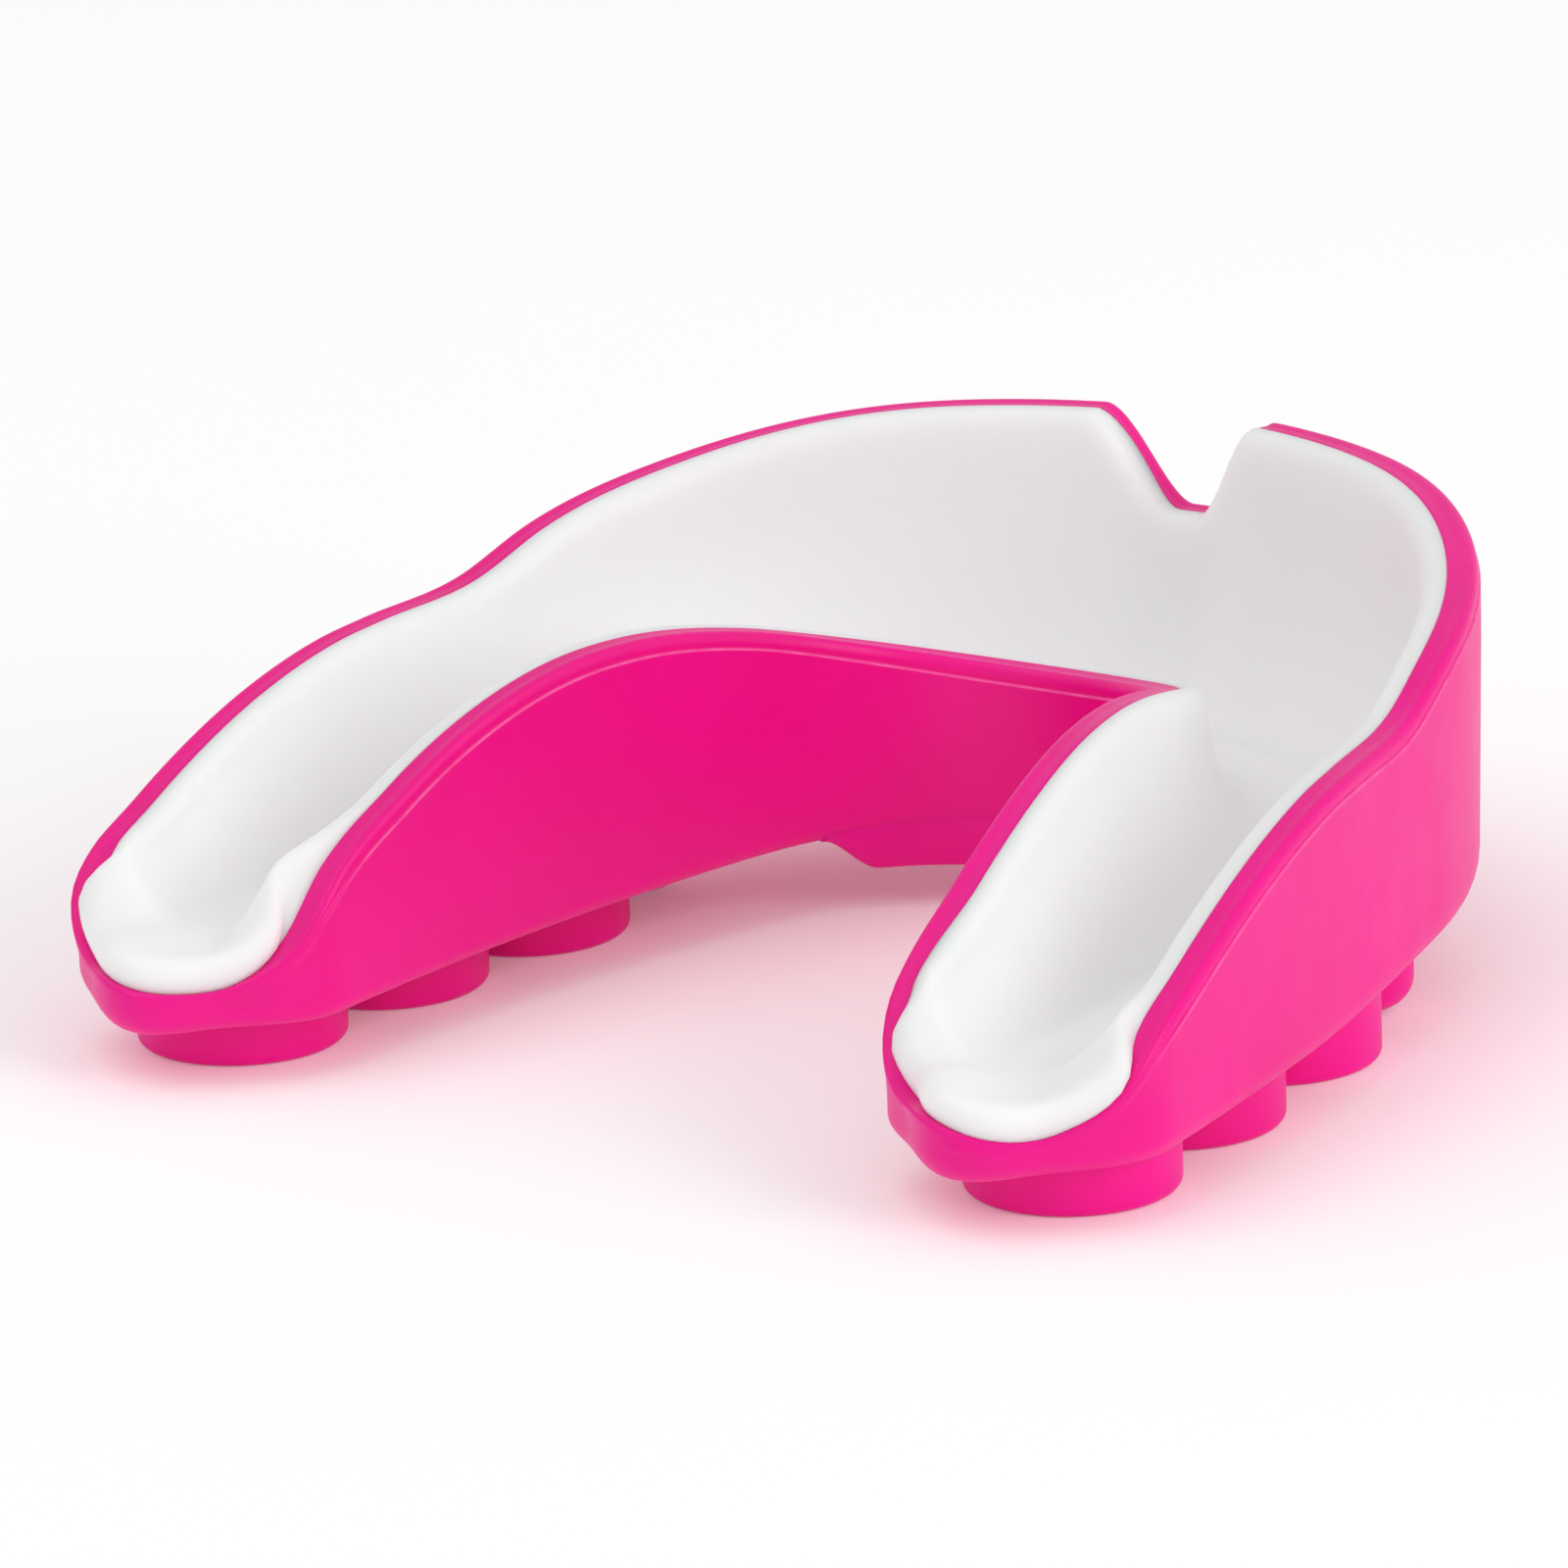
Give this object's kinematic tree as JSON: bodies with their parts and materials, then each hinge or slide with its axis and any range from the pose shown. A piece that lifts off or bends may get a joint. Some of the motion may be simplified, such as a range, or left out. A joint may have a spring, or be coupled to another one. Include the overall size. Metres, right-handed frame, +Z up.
{
  "type": "mouthguard",
  "caption": "U-shaped boil-and-bite mouthguard: rubber outer shell with a frenum notch, pale gel liner in its trough and round bite pads underneath.",
  "frame": {"origin": "middle of the footprint on the surface the bite pads rest on", "axes": "+Z up, out of the trough; -Y towards the front teeth; +X towards the wearer's left"},
  "size_m": [0.0604, 0.06, 0.0218],
  "materials": {
    "shell_rubber": "satin hot-pink moulded rubber",
    "pad_rubber": "satin pink moulded rubber, slightly deeper than the shell",
    "liner_gel": "soft milky white gel, satin, slightly translucent"
  },
  "bodies": {
    "root": {"outer_shell": "shell_rubber", "gel_liner": "liner_gel", "bite_pad_left_1": "pad_rubber", "bite_pad_left_2": "pad_rubber", "bite_pad_left_3": "pad_rubber", "bite_pad_left_4": "pad_rubber", "bite_pad_right_1": "pad_rubber", "bite_pad_right_2": "pad_rubber", "bite_pad_right_3": "pad_rubber", "bite_pad_right_4": "pad_rubber", "front_bite_pad": "pad_rubber"}
  },
  "joints": []
}
